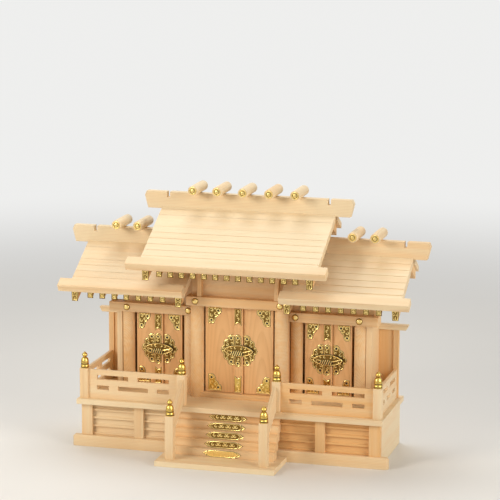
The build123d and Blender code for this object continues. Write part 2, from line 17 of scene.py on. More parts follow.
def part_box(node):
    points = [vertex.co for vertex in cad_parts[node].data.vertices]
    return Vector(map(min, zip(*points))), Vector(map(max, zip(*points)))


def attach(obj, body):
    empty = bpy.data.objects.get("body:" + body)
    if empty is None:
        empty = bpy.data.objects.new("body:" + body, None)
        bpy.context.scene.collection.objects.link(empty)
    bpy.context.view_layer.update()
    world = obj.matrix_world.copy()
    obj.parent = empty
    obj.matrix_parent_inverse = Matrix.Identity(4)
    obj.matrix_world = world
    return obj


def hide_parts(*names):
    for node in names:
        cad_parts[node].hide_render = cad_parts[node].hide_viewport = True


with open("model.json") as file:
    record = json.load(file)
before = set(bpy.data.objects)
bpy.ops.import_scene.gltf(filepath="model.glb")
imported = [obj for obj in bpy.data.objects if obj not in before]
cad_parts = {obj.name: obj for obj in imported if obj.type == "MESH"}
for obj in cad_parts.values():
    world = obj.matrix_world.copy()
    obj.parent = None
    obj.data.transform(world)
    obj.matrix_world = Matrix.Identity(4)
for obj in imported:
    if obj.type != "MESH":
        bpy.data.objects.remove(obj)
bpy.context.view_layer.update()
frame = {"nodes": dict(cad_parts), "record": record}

# %% [markdown]
# ## Camera
# The camera could be placed by eye, but then every edge would be a little off. Its direction,
# distance and lens were worked out from the building's own straight edges, so it is built
# from those angles: a matrix whose columns are right, up and backwards.

# %% Camera
turn, tip, lean = (math.radians(angle) for angle in (15.23, 10.94, 0.22))
lens_in_pixels, picture_width, sensor = 2253.57, 500, 36
standpoint = Vector((0.94493, -3.34682, 1.00792))
sight = Vector((-math.sin(turn) * math.cos(tip), math.cos(turn) * math.cos(tip), -math.sin(tip)))
level = Vector((math.cos(turn), math.sin(turn), 0))
upward = level.cross(sight)
right = math.cos(lean) * level + math.sin(lean) * upward
above = math.cos(lean) * upward - math.sin(lean) * level
lens = bpy.data.cameras.new("camera")
lens.lens = lens_in_pixels * sensor / picture_width
lens.sensor_width = sensor
camera = bpy.data.objects.new("camera", lens)
bpy.context.scene.collection.objects.link(camera)
placing = Matrix((right, above, -sight)).transposed().to_4x4()
placing.translation = standpoint
camera.matrix_world = placing
bpy.context.scene.camera = camera
bpy.context.scene.view_settings.view_transform = "Standard"
print("lens", round(lens.lens, 1), "mm")

# %% [markdown]
# ## Light
# The logs throw their shadows forward on the roof, so one light hangs above and slightly
# behind. The front gets darker from left to right and the stair shades the boards at its right,
# so a warm panel stands near, in front at the left. A wide panel far off at the right fills the
# end of the building. Large panels give soft shadow edges and broad highlights on the metal.
# The world is pale for the camera and for reflections, and dimmer as a light, so that the pale
# wood doesn't wash out.

# %% Light
def soft_panel(name, place, aim, size, power, tone):
    """A square panel of light at place, facing aim."""
    panel = bpy.data.lights.new(name, "AREA")
    panel.energy = power
    panel.size = size
    panel.color = tone
    lamp = bpy.data.objects.new(name, panel)
    bpy.context.scene.collection.objects.link(lamp)
    lamp.location = place
    lamp.rotation_euler = (Vector(aim) - Vector(place)).to_track_quat("-Z", "Y").to_euler()
    return lamp


middle_of_shrine = (0, 0.04, 0.2)
soft_panel("top_light", (-0.25, 0.55, 1.7), middle_of_shrine, 1.0, 15, (1, 0.99, 0.97))
soft_panel("left_key", (-1.15, -1.3, 0.95), middle_of_shrine, 0.75, 18, (1, 0.92, 0.80))
soft_panel("side_fill", (2.2, -0.9, 1.1), middle_of_shrine, 1.4, 33, (1, 0.94, 0.85))

# %% [markdown]
# ## Shader nodes and the world
# A tree could be put together by hand in the editor. Written out, each node is one line, so a
# small helper adds a node and joins its inputs. The world is the first tree made with it.

# %% A helper for shader nodes
def node(tree, kind, inputs=None, **settings):
    """Adds a node. An input is a number, a colour or another node's output."""
    made = tree.nodes.new(kind)
    for key, value in settings.items():
        setattr(made, key, value)
    for key, value in (inputs or {}).items():
        if isinstance(value, bpy.types.NodeSocket):
            tree.links.new(value, made.inputs[key])
        else:
            made.inputs[key].default_value = value
    return made


# %% World
world = bpy.data.worlds.new("studio")
bpy.context.scene.world = world
world.use_nodes = True
air = world.node_tree
air.nodes.clear()
path = node(air, "ShaderNodeLightPath")
seen = node(air, "ShaderNodeMath", {0: path.outputs["Is Camera Ray"], 1: path.outputs["Is Glossy Ray"]},
            operation="MAXIMUM")
backdrop_tone = (0.86, 0.86, 0.85, 1)
backdrop = node(air, "ShaderNodeBackground", {"Color": backdrop_tone, "Strength": 1.0})
glow = node(air, "ShaderNodeBackground", {"Color": (1, 0.95, 0.88, 1), "Strength": 0.22})
choice = node(air, "ShaderNodeMixShader", {0: seen.outputs[0], 1: glow.outputs[0], 2: backdrop.outputs[0]})
node(air, "ShaderNodeOutputWorld", {"Surface": choice.outputs[0]})
print("world set")

# %% [markdown]
# ## Cypress
# Straight-grained cypress shows narrow growth rings as fine parallel lines, closer than 3 mm,
# with pale wood between them. An image would repeat on every board. Here each board carries
# its own coordinates in an attribute called grain, measured from a pith beside the board, so
# a ring texture cut by the board gives lines on its face and arcs on its end, as in real wood.

# %% Cypress finish
ring_spacing = 0.0024


def finish(name):
    """A new material, its tree and its surface shader."""
    material = bpy.data.materials.new(name)
    material.use_nodes = True
    return material, material.node_tree, material.node_tree.nodes["Principled BSDF"]


def blend_colours(tree, amount, first, second):
    """Mixes two colours and gives the result's output."""
    mix = node(tree, "ShaderNodeMix", {0: amount, 6: first, 7: second}, data_type="RGBA")
    return mix.outputs[2]


def cypress_finish(name, pale, toasted, late, spacing=ring_spacing, depth=0.55):
    """Bare planed cypress: pale wood, warmer patches and darker lines of late wood."""
    material, tree, surface = finish(name)
    grain = node(tree, "ShaderNodeAttribute", attribute_name="grain").outputs["Vector"]
    tint = node(tree, "ShaderNodeAttribute", attribute_name="tint").outputs["Fac"]
    drawn = node(tree, "ShaderNodeMapping", {"Vector": grain, "Scale": (0.05, 1, 1)}).outputs[0]
    rings = node(tree, "ShaderNodeTexWave",
                 {"Vector": drawn, "Scale": 0.314 / spacing, "Distortion": 0.9, "Detail": 2.0,
                  "Detail Scale": 0.35},
                 wave_type="RINGS", rings_direction="X", wave_profile="SAW").outputs["Fac"]
    line = node(tree, "ShaderNodeValToRGB", {"Fac": rings})
    line.color_ramp.elements[0].position = 0.35
    line.color_ramp.elements[0].color = (0, 0, 0, 1)
    line.color_ramp.elements[1].position = 0.9
    line.color_ramp.elements[1].color = (1, 1, 1, 1)
    line.color_ramp.elements.new(1.0).color = (0, 0, 0, 1)
    stretched = node(tree, "ShaderNodeMapping", {"Vector": grain, "Scale": (30, 900, 900)}).outputs[0]
    fibre = node(tree, "ShaderNodeTexNoise", {"Vector": stretched, "Scale": 1.0, "Detail": 3.0}).outputs["Fac"]
    broad = node(tree, "ShaderNodeMapping", {"Vector": grain, "Scale": (6, 38, 38)}).outputs[0]
    patch = node(tree, "ShaderNodeTexNoise", {"Vector": broad, "Scale": 1.0, "Detail": 2.0}).outputs["Fac"]
    drawn_out = node(tree, "ShaderNodeMapping", {"Vector": grain, "Scale": (2.2, 130, 130)}).outputs[0]
    streak = node(tree, "ShaderNodeTexNoise", {"Vector": drawn_out, "Scale": 1.0, "Detail": 3.0}).outputs["Fac"]
    varied = node(tree, "ShaderNodeMath", {0: patch, 1: streak}, operation="ADD").outputs[0]
    warmth = node(tree, "ShaderNodeMath", {0: varied, 1: 0.75, 2: tint}, operation="MULTIPLY_ADD",
                  use_clamp=True)
    ground = blend_colours(tree, warmth.outputs[0], pale, toasted)
    soft = node(tree, "ShaderNodeMath", {0: fibre, 1: depth}, operation="MULTIPLY").outputs[0]
    strength = node(tree, "ShaderNodeMath", {0: line.outputs["Color"], 1: soft}, operation="MULTIPLY")
    colour = blend_colours(tree, strength.outputs[0], ground, late)
    tree.links.new(colour, surface.inputs["Base Color"])
    rough = node(tree, "ShaderNodeMapRange", {0: fibre, 3: 0.44, 4: 0.62}).outputs[0]
    tree.links.new(rough, surface.inputs["Roughness"])
    surface.inputs["Specular IOR Level"].default_value = 0.35
    relief = node(tree, "ShaderNodeMath", {0: fibre, 1: strength.outputs[0]}, operation="ADD")
    bump = node(tree, "ShaderNodeBump", {"Height": relief.outputs[0], "Strength": 0.35, "Distance": 0.00008})
    tree.links.new(bump.outputs[0], surface.inputs["Normal"])
    return material


cypress = cypress_finish("cypress", (0.88, 0.735, 0.50, 1), (0.84, 0.50, 0.21, 1), (0.62, 0.34, 0.14, 1))
door_cypress = cypress_finish("door_cypress", (0.88, 0.58, 0.30, 1), (0.80, 0.46, 0.20, 1),
                              (0.56, 0.28, 0.10, 1), 0.0048, 0.46)
print("finishes:", cypress.name, door_cypress.name)

# %% [markdown]
# ## Gilding
# The fittings are thin pressings with a bright face and a ground between the raised scrolls that
# is duller and brown: partly the matted finish of chased work, partly painted shade of its
# hollows. That contrast, and not the outline, is what reads from a distance. One material with a
# pattern could show it, but it would slide off the scrolls, so face and ground are two materials
# on separate shapes. A near-black third is painted shade in pierced holes, at plate edges and in
# grooves, and the deeper yellow of the spun finials and of the lower plates on the doors is a fourth.

# %% Gilded finishes
def gilded_finish(name, bright, worn, smooth, rough):
    """Gold plate with faint uneven polish, read from the piece's own place."""
    material, tree, surface = finish(name)
    place = node(tree, "ShaderNodeTexCoord").outputs["Object"]
    cloud = node(tree, "ShaderNodeTexNoise", {"Vector": place, "Scale": 260.0, "Detail": 4.0}).outputs["Fac"]
    tree.links.new(blend_colours(tree, cloud, bright, worn), surface.inputs["Base Color"])
    polish = node(tree, "ShaderNodeMapRange", {0: cloud, 3: smooth, 4: rough}).outputs[0]
    tree.links.new(polish, surface.inputs["Roughness"])
    surface.inputs["Metallic"].default_value = 1.0
    beaten = node(tree, "ShaderNodeTexNoise", {"Vector": place, "Scale": 1400.0, "Detail": 2.0}).outputs["Fac"]
    bump = node(tree, "ShaderNodeBump", {"Height": beaten, "Strength": 0.2, "Distance": 0.00004})
    tree.links.new(bump.outputs[0], surface.inputs["Normal"])
    return material


gold = gilded_finish("bright_gold", (0.98, 0.80, 0.36, 1), (0.92, 0.65, 0.20, 1), 0.22, 0.36)
# a duller, brown ground: partly the matted finish of chased work, partly painted shade of its hollows
dull_and_shaded_gold = gilded_finish("dull_ground_and_painted_shade", (0.30, 0.18, 0.045, 1), (0.15, 0.09, 0.022, 1), 0.40, 0.58)
brass = gilded_finish("spun_brass", (0.76, 0.53, 0.15, 1), (0.58, 0.38, 0.08, 1), 0.14, 0.26)


def painted_hole_shade_finish():
    """Near-black painted shade for the inside of a pierced hole and other shaded spots, mottled a little by
    noise.
    """
    material, tree, surface = finish("painted_hole_shade")
    place = node(tree, "ShaderNodeTexCoord").outputs["Object"]
    shade_mottle = node(tree, "ShaderNodeTexNoise", {"Vector": place, "Scale": 700.0}).outputs["Fac"]
    shade = blend_colours(tree, shade_mottle, (0.010, 0.007, 0.004, 1), (0.035, 0.022, 0.010, 1))
    tree.links.new(shade, surface.inputs["Base Color"])
    surface.inputs["Roughness"].default_value = 0.75
    return material


# near-black painted shade: inside pierced holes, the thin edge under each plate, the latch's hollow and skirt,
# and the finials' grooves
pierced = painted_hole_shade_finish()
gilding = [gold, dull_and_shaded_gold, pierced, brass]
BRIGHT, DULL, PAINTED_SHADE, PLAIN = range(4)
print("gilding:", [m.name for m in gilding])

# %% [markdown]
# ## Floor
# A plain pale floor takes the shadow. Far from the building it turns into the backdrop's own
# tone, for the camera only, so that no horizon shows.

# %% Floor
def studio_floor(reach):
    """A wide flat floor at height zero."""
    sheet = bpy.data.meshes.new("floor")
    corners = [(-reach, -reach, 0), (reach, -reach, 0), (reach, reach, 0), (-reach, reach, 0)]
    sheet.from_pydata(corners, [], [(0, 1, 2, 3)])
    material, tree, surface = finish("pale_floor")
    place = node(tree, "ShaderNodeTexCoord").outputs["Object"]
    cloud = node(tree, "ShaderNodeTexNoise", {"Vector": place, "Scale": 3.0}).outputs["Fac"]
    shade = blend_colours(tree, cloud, (0.80, 0.80, 0.79, 1), (0.83, 0.83, 0.82, 1))
    tree.links.new(shade, surface.inputs["Base Color"])
    surface.inputs["Roughness"].default_value = 0.8
    distance = node(tree, "ShaderNodeVectorMath", {0: place}, operation="LENGTH").outputs["Value"]
    far = node(tree, "ShaderNodeMapRange", {0: distance, 1: 0.7, 2: 2.6}, interpolation_type="SMOOTHSTEP")
    seen_by_camera = node(tree, "ShaderNodeLightPath").outputs["Is Camera Ray"]
    share = node(tree, "ShaderNodeMath", {0: far.outputs[0], 1: seen_by_camera}, operation="MULTIPLY")
    haze = node(tree, "ShaderNodeEmission", {"Color": backdrop_tone, "Strength": 1.0})
    mixed = node(tree, "ShaderNodeMixShader", {0: share.outputs[0], 1: surface.outputs[0], 2: haze.outputs[0]})
    tree.links.new(mixed.outputs[0], tree.nodes["Material Output"].inputs["Surface"])
    sheet.materials.append(material)
    floor = bpy.data.objects.new("floor", sheet)
    bpy.context.scene.collection.objects.link(floor)
    return floor


studio_floor(14)
print("floor laid")

# %% [markdown]
# ## Taking the solids apart
# A node's mesh is loose triangles, and one node can hold many boards. Merging its doubles
# and walking from face to face over edges that only two faces share gives the boards back,
# even where two of them touch. Everything that follows is measured from these shells, so no
# place is copied by hand.

# %% Shells of a node
def shells(name):
    """Each closed solid of a CAD node as its own bmesh, with flat faces made whole."""
    whole = bmesh.new()
    whole.from_mesh(frame["nodes"][name].data)
    bmesh.ops.remove_doubles(whole, verts=whole.verts, dist=1e-6)
    whole.faces.ensure_lookup_table()
    done = set()
    found = []
    for seed in whole.faces:
        if seed.index in done:
            continue
        done.add(seed.index)
        group, queue = [], [seed]
        while queue:
            face = queue.pop()
            group.append(face)
            for edge in face.edges:
                if len(edge.link_faces) != 2:
                    continue
                for beside in edge.link_faces:
                    if beside.index not in done:
                        done.add(beside.index)
                        queue.append(beside)
        part = bmesh.new()
        made = {}
        for face in group:
            for vert in face.verts:
                if vert.index not in made:
                    made[vert.index] = part.verts.new(vert.co)
            part.faces.new([made[vert.index] for vert in face.verts])
        bmesh.ops.dissolve_limit(part, angle_limit=math.radians(0.6), verts=part.verts, edges=part.edges)
        found.append(part)
    whole.free()
    return found


def span(part):
    """Lowest and highest corner of a shell."""
    places = [vert.co for vert in part.verts]
    low = Vector([min(p[axis] for p in places) for axis in range(3)])
    high = Vector([max(p[axis] for p in places) for axis in range(3)])
    return low, high


print("boards in the left roof:", len(shells("roof_left")))

# %% [markdown]
# ## Edges and grain of a board
# A planed board has its edges just broken with a pass of the plane, and that thin facet is
# what catches light. A Bevel modifier would do it, but working in the shell lets the same
# pass also store the grain direction, which is the direction of the board's longest edge.

# %% Axes and broken edges
edge_break = 0.0004
sharp = math.radians(30)
curved = math.radians(18)


def board_axes(part):
    """Unit vectors along the board, across its wide face and through it.

    Only real corners count. A flat face with a slot in it keeps a slanting edge inside,
    and grain that followed that edge would run across the board at an angle.
    """
    corners = [edge for edge in part.edges if edge.is_manifold and edge.calc_face_angle(0) > sharp]
    longest = max(corners or part.edges, key=lambda edge: edge.calc_length())
    along = (longest.verts[1].co - longest.verts[0].co).normalized()
    flats = [face for face in part.faces if abs(face.normal.dot(along)) < 0.3]
    widest = max(flats, key=lambda face: face.calc_area())
    through = (widest.normal - along * widest.normal.dot(along)).normalized()
    return along, through.cross(along), through


def break_edges(part):
    """Bevels the outer corners. Gives the faces that this adds."""
    part.normal_update()
    corners = [edge for edge in part.edges
               if edge.is_manifold and edge.is_convex and edge.calc_face_angle(0) > sharp]
    made = bmesh.ops.bevel(part, geom=corners, offset=edge_break, offset_type="OFFSET", segments=2,
                           profile=0.5, affect="EDGES", clamp_overlap=True)
    return set(made["faces"])


def rounded(face):
    """True on the sides of something turned."""
    turns = [edge.calc_face_angle(0) for edge in face.edges if edge.is_manifold]
    return any(0.01 < angle < curved for angle in turns)


print("edges broken by", 1000 * edge_break, "mm")

# %% [markdown]
# ## Tone of each board
# No two boards of the building have the same tone. Painting each board by hand would be slow, so
# each draws its tone at random between two limits that depend on where it is used. The limits
# also paint light and shade: boards out in the light, such as the roofs, are paler, and the walls,
# columns and risers under the roofs are warmer, as painted shade and warm bounce light.

# %% Tones
# painted light and shade: how much warmer (shaded) or paler (lit) the boards on the left and on the right of
# the middle are drawn
side_light_and_shade = {"ridge_boards": (-0.2, 0.3), "balustrade_front": (0.1, 0.45), "base_siding": (0.0, 0.8),
               "base_posts": (0.0, 0.6)}


def tone_and_shade_of(name):
    """The least and the most warmth that a board of a node may draw; boards in shade get warmer limits, as
    painted shade.
    """
    if name.startswith(("roof", "ridge", "screen_caps", "deck", "base_sides", "stair_base", "stair_rail")):
        return 0.0, 0.16
    if name.startswith(("eave", "newel", "balustrade")):
        return 0.16, 0.34
    if name.startswith(("plinth", "base", "side_walls")):
        return 0.18, 0.42
    if name.startswith("stair_step"):
        return 0.45, 0.65
    return 0.55, 0.85


print("warmth of a column:", tone_and_shade_of("columns"), "of a roof:", tone_and_shade_of("roof_left"))

# %% [markdown]
# ## Siding
# The base is clad with four boards in two lengths. Each has a thick lower edge that stands out
# and shades the next board, and above it the board is planed hollow. The solid is one panel
# with shallow laps. A bump in the material would not cast that shadow, so every board is drawn
# as a profile and drawn out along the front. It only takes wood away from the solid, so the
# panel stays where it was.

# %% Siding boards
def drawn_out(outline, start, end):
    """A closed profile of depth and height, drawn out along x."""
    part = bmesh.new()
    ends = [[part.verts.new((x, y, z)) for y, z in outline] for x in (start, end)]
    for k in range(len(outline)):
        part.faces.new((ends[0][k - 1], ends[0][k], ends[1][k], ends[1][k - 1]))
    part.faces.new(ends[0][::-1])
    part.faces.new(ends[1])
    bmesh.ops.recalc_face_normals(part, faces=part.faces)
    return part


lap_edge, lap_slope = 0.0032, 0.0046
lap_hollow, lap_head = 0.0030, 0.0044


def lapped_boards():
    """The siding as separate boards, with a joint behind the stair."""
    panel = shells("base_siding")[0]
    low, high = span(panel)
    feet = sorted({round(vert.co.z, 5) for vert in panel.verts if vert.co.y - low.y < 1e-5})
    feet = [z for z in feet if z < high.z - 1e-4]
    panel.free()
    boards = []
    for foot, head in zip(feet, feet[1:] + [high.z]):
        front = [(low.y, foot), (low.y, head)]
        if foot > 0.001:
            front[1:] = [(low.y, foot + lap_edge), (low.y + lap_hollow, foot + lap_slope),
                         (low.y + lap_head, head)]
        for start, end in ((low.x, 0), (0, high.x)):
            boards.append(drawn_out(front + [(high.y, head), (high.y, foot)], start, end))
    return boards


print("siding boards:", len(lapped_boards()))

# %% [markdown]
# ## Roof courses
# The front slopes are worked in steps like courses of shingles, with plain wood near the
# ridge. The solids' steps are even over the whole slope and too deep for this light. They could be
# modelled again, but the eave and the ridge have to stay where they are, so the points of the
# courses are moved towards the straight line of the slope instead, by less than a millimetre.

# %% Ease the courses
# how much of each course's step is kept, and where the plain upper part of a slope begins
course_depth = {"roof_left": 0.28, "roof_centre": 0.32, "roof_right": 0.62}
plain_from = {"roof_left": 0.60, "roof_centre": 0.64, "roof_right": 0.84}


def side_line(verts):
    """Height at y = 0 and pitch of the straight line through points seen from the side."""
    y_mean = sum(vert.co.y for vert in verts) / len(verts)
    z_mean = sum(vert.co.z for vert in verts) / len(verts)
    spread = sum((vert.co.y - y_mean) ** 2 for vert in verts)
    pitch = sum((vert.co.y - y_mean) * (vert.co.z - z_mean) for vert in verts) / spread
    return z_mean - pitch * y_mean, pitch


def ease_courses(part, name):
    """Makes the steps of a roof's front slope shallower. Gives the most that a point moved.

    The reference is the straight line through the courses, seen from the side, so the slope
    itself doesn't turn. The seat under the eave board lies 4 mm below it and is left out.
    """
    slope = [face for face in part.faces if face.normal.z > 0.6 and face.normal.y < -0.1]
    tops = sorted({vert for face in slope for vert in face.verts}, key=lambda vert: tuple(vert.co))
    if len(slope) < 4:
        return 0.0
    for limit in (0.002, 0.001):
        height, pitch = side_line(tops)
        tops = [vert for vert in tops if abs(vert.co.z - height - pitch * vert.co.y) < limit]
    height, pitch = side_line(tops)
    first, last = min(vert.co.y for vert in tops), max(vert.co.y for vert in tops)
    most = 0.0
    for vert in tops:
        off = vert.co.z - height - pitch * vert.co.y
        plain = (vert.co.y - first) / (last - first) > plain_from.get(name, 2)
        gone = off * (1 - (0 if plain else course_depth[name]))
        vert.co.z -= gone
        most = max(most, abs(gone))
    if most > 0.001:
        raise ValueError("only the steps may move, and this moved more")
    return most


print("courses kept:", course_depth)

# %% [markdown]
# ## Dressing the boards
# All this comes together in one pass over every wooden node. Each board draws its tone, its
# start along the tree and its distance from the pith, so that its grain is its own. The doors
# are cut near the pith and a little askew, which gives their tall arches. The result replaces
# the node, and it rides on the same body, so a door takes its boards along.

# %% Dress a wooden node
def dress(name, body, material, slot):
    """A copy of a wooden node with broken edges and its own grain. It replaces the node."""
    dice = random.Random("boards of " + name)
    points, faces, smooth, grain, tints = [], [], [], [], []
    for part in lapped_boards() if name == "base_siding" else shells(name):
        part.normal_update()
        along, across, through = board_axes(part)
        low, high = span(part)
        centre = (low + high) / 2
        start = dice.uniform(-1, 1)
        pith = dice.choice((-1, 1)) * dice.uniform(0.05, 0.13)
        depth = dice.uniform(-0.02, 0.02)
        drift = dice.uniform(-0.012, 0.012)
        rise = 0.0
        if slot == "door_cypress":
            pith, depth, rise = dice.uniform(-0.006, 0.006), 0.012, 0.11
        # each board's own tone, with painted shade: boards that stand in shade draw warmer
        tint = dice.uniform(*tone_and_shade_of(name)) - 0.75
        # painted light and shade by side: the left ridge is paler, and the front on the right is warmer where
        # the stair shades it and the light falls off
        if name in side_light_and_shade and abs(centre.x) > 0.05:
            tint += side_light_and_shade[name][centre.x > 0]
        if name.startswith("roof"):
            eased = ease_courses(part, name)
            print(name, "course points moved at most", round(1000 * eased, 2), "mm")
        added = break_edges(part)
        part.normal_update()
        part.verts.index_update()
        first = len(points)
        for vert in part.verts:
            off = vert.co - centre
            run = off.dot(along)
            points.append(vert.co.copy())
            grain += [run + start, off.dot(across) + pith + drift * run,
                      off.dot(through) + depth + rise * run]
            tints.append(tint)
        for face in part.faces:
            faces.append([first + vert.index for vert in face.verts])
            smooth.append(face in added or not name.startswith("roof") and rounded(face))
        part.free()
    mesh = bpy.data.meshes.new(name + "_boards")
    mesh.from_pydata(points, [], faces)
    mesh.polygons.foreach_set("use_smooth", smooth)
    mesh.attributes.new("grain", "FLOAT_VECTOR", "POINT").data.foreach_set("vector", grain)
    mesh.attributes.new("tint", "FLOAT", "POINT").data.foreach_set("value", tints)
    mesh.materials.append(material)
    piece = bpy.data.objects.new(name + "_boards", mesh)
    bpy.context.scene.collection.objects.link(piece)
    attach(piece, body)
    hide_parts(name)
    return piece


print("ready to dress")

# %% Dress every wooden node
body_of_node = {}
for body_name, members in frame["record"]["behaviour"]["bodies"].items():
    for member in members:
        body_of_node[member] = body_name
slot_of_node = {part["node"]: part["material_slot"] for part in frame["record"]["subparts"]}
boards = 0
for name in sorted(frame["nodes"]):
    if slot_of_node[name] == "gold_metal":
        continue
    wood = door_cypress if slot_of_node[name] == "door_cypress" else cypress
    dress(name, body_of_node[name], wood, slot_of_node[name])
    boards += 1
print("wooden nodes dressed:", boards)

# %% [markdown]
# ## A kit for chased metal
# Each fitting is drawn flat in millimetres, u to the right, v up and w towards the viewer,
# and set on the door afterwards. A pressing has a ground, a raised rim, raised scrolls and
# pierced holes. Each of these is a small closed shape, which keeps the mesh clean.

# %% Outline of a lobed plate
def ring_of(u, v, radius, count):
    """Points of a circle."""
    angles = [2 * math.pi * k / count for k in range(count)]
    return [Vector((u + radius * math.cos(angle), v + radius * math.sin(angle))) for angle in angles]


def reach_of(ray, start, core, discs):
    """How far the plate extends from start in one direction."""
    far = 0.0
    for first, second in zip(core, core[1:] + core[:1]):
        a = Vector(first) - start
        side = Vector(second) - Vector(first)
        turn_of = ray.x * side.y - ray.y * side.x
        if abs(turn_of) < 1e-9:
            continue
        t = (a.x * side.y - a.y * side.x) / turn_of
        s = (a.x * ray.y - a.y * ray.x) / turn_of
        if t > 0 and -1e-9 <= s <= 1 + 1e-9:
            far = max(far, t)
    for u, v, radius in discs:
        a = Vector((u, v)) - start
        middle = a.dot(ray)
        inside = radius * radius - (a.length_squared - middle * middle)
        if inside > 0:
            far = max(far, middle + math.sqrt(inside))
    return far


def lobed(start, core, discs, steps=120):
    """The outline of a core polygon joined with round lobes, seen from a point inside it."""
    start = Vector(start)
    angles = [2 * math.pi * k / steps for k in range(steps)]
    # the corners of the core count too, or they would be cut off
    angles += [math.atan2(v - start.y, u - start.x) % (2 * math.pi) for u, v in core]
    outline = []
    for angle in sorted(set(round(a, 5) for a in angles)):
        ray = Vector((math.cos(angle), math.sin(angle)))
        outline.append(start + ray * reach_of(ray, start, core, discs))
    return outline


def inset(outline, width):
    """The same outline moved inwards by a width."""
    moved = []
    count = len(outline)
    for k, point in enumerate(outline):
        before = (point - outline[k - 1]).normalized()
        after = (outline[(k + 1) % count] - point).normalized()
        inward = Vector((-(before.y + after.y), before.x + after.x))
        size = max(inward.length, 1.2)  # keeps sharp corners from running away
        moved.append(point + inward * (2 * width / (size * size)))
    return moved


def kept_side(outline, limit, side):
    """The part of an outline beyond u = limit, on one side of it."""
    kept = []
    for k, point in enumerate(outline):
        last = outline[k - 1]
        if (side * (point.x - limit) > 0) != (side * (last.x - limit) > 0):
            share = (limit - last.x) / (point.x - last.x)
            kept.append(last.lerp(point, share))
        if side * (point.x - limit) > 0:
            kept.append(point)
    return kept


# %% Closed shapes for metalwork
class Pressing:
    """Closed shapes in millimetres, gathered on one fitting."""

    def __init__(self):
        self.shapes = bmesh.new()

    def skin(self, loops, material, closed=False):
        """Joins rings of points into a closed shape. The ends are capped unless it is a ring."""
        rings = [[self.shapes.verts.new(p) for p in loop] for loop in loops]
        pairs = list(zip(rings, rings[1:]))
        if closed:
            pairs.append((rings[-1], rings[0]))
        made = []
        for low, high in pairs:
            for k in range(len(low)):
                corners = (low[k - 1], low[k], high[k], high[k - 1])
                made.append(self.shapes.faces.new(corners))
        if not closed:
            made.append(self.shapes.faces.new(list(reversed(rings[0]))))
            made.append(self.shapes.faces.new(rings[-1]))
        for face in made:
            face.material_index = material

    def plate(self, outline, low, high, material=BRIGHT, ease=0.12):
        """A flat plate with its front edge eased."""
        inner = inset(outline, ease)
        self.skin([[(p.x, p.y, low) for p in outline], [(p.x, p.y, high - ease) for p in outline],
                   [(p.x, p.y, high) for p in inner]], material)

    def rim(self, outline, width, low, high, material=BRIGHT):
        """A rounded band that follows the outline."""
        half, inner = inset(outline, width / 2), inset(outline, width)
        crown = low + 0.6 * (high - low)
        self.skin([[(p.x, p.y, low) for p in outline], [(p.x, p.y, crown) for p in outline],
                   [(p.x, p.y, high) for p in half], [(p.x, p.y, crown) for p in inner],
                   [(p.x, p.y, low) for p in inner]], material, closed=True)

    def ribbon(self, path, width, low, high, material=BRIGHT, point=0.35, shoulder=(0.8, 0.85)):
        """A raised line that narrows to both ends. Its shoulder is a share of width and height."""
        loops = []
        last = len(path) - 1
        for k, place in enumerate(path):
            ahead = (path[min(k + 1, last)] - path[max(k - 1, 0)]).normalized()
            beside = Vector((-ahead.y, ahead.x))
            share = math.sin(math.pi * (k + 0.25) / (last + 0.5))
            half = 0.5 * width * (point + (1 - point) * share)
            top = low + (high - low) * (0.6 + 0.4 * share)
            out, side = shoulder[0], low + shoulder[1] * (top - low)
            profile = ((-1, low), (-out, side), (0, top), (out, side), (1, low))
            loops.append([(place.x + beside.x * half * s, place.y + beside.y * half * s, w)
                          for s, w in profile])
        self.skin(loops, material)

    def boss(self, u, v, profile, material=BRIGHT, sides=16):
        """Something turned, standing on the plate. The profile is radius and height."""
        self.skin([[(p.x, p.y, w) for p in ring_of(u, v, r, sides)] for r, w in profile], material)

    def hole(self, u, v, radius, floor):
        """A pierced hole: a near-black disc of painted shade inside a wide bright ring."""
        disc = [(radius, floor), (radius, floor + 0.06), (0.9 * radius, floor + 0.08)]
        self.boss(u, v, disc, PAINTED_SHADE, 12)
        outer = radius + min(1.5, 0.8 * radius)
        self.rim(ring_of(u, v, outer, 16), outer - radius, floor - 0.05, floor + 0.3)

    def cut(self, limit, side):
        """Keeps what lies beyond u = limit, on one side of it, and closes the cut."""
        everything = list(self.shapes.verts) + list(self.shapes.edges) + list(self.shapes.faces)
        bmesh.ops.bisect_plane(self.shapes, geom=everything, dist=1e-5, plane_co=(limit, 0, 0),
                               plane_no=(-side, 0, 0), clear_outer=True)
        open_edges = [edge for edge in self.shapes.edges if edge.is_boundary]
        bmesh.ops.holes_fill(self.shapes, edges=open_edges, sides=0)

    def settle(self, target, place, across=1, up=1):
        """Sets the shapes on the building, at place in metres, and adds them to target."""
        for vert in self.shapes.verts:
            u, v, w = vert.co
            vert.co = Vector((place.x + across * u / 1000, place.y - w / 1000, place.z + up * v / 1000))
        bmesh.ops.recalc_face_normals(self.shapes, faces=self.shapes.faces)
        carrier = bpy.data.meshes.new("carrier")
        self.shapes.to_mesh(carrier)
        target.from_mesh(carrier)
        bpy.data.meshes.remove(carrier)
        self.shapes.free()


def spiral(centre, start, turns, first, last, steps=18):
    """Points of a scroll: angles in degrees, radii in millimetres."""
    points = []
    for k in range(steps + 1):
        share = k / steps
        angle = math.radians(start + 360 * turns * share)
        radius = first + (last - first) * share
        points.append(Vector(centre) + radius * Vector((math.cos(angle), math.sin(angle))))
    return points


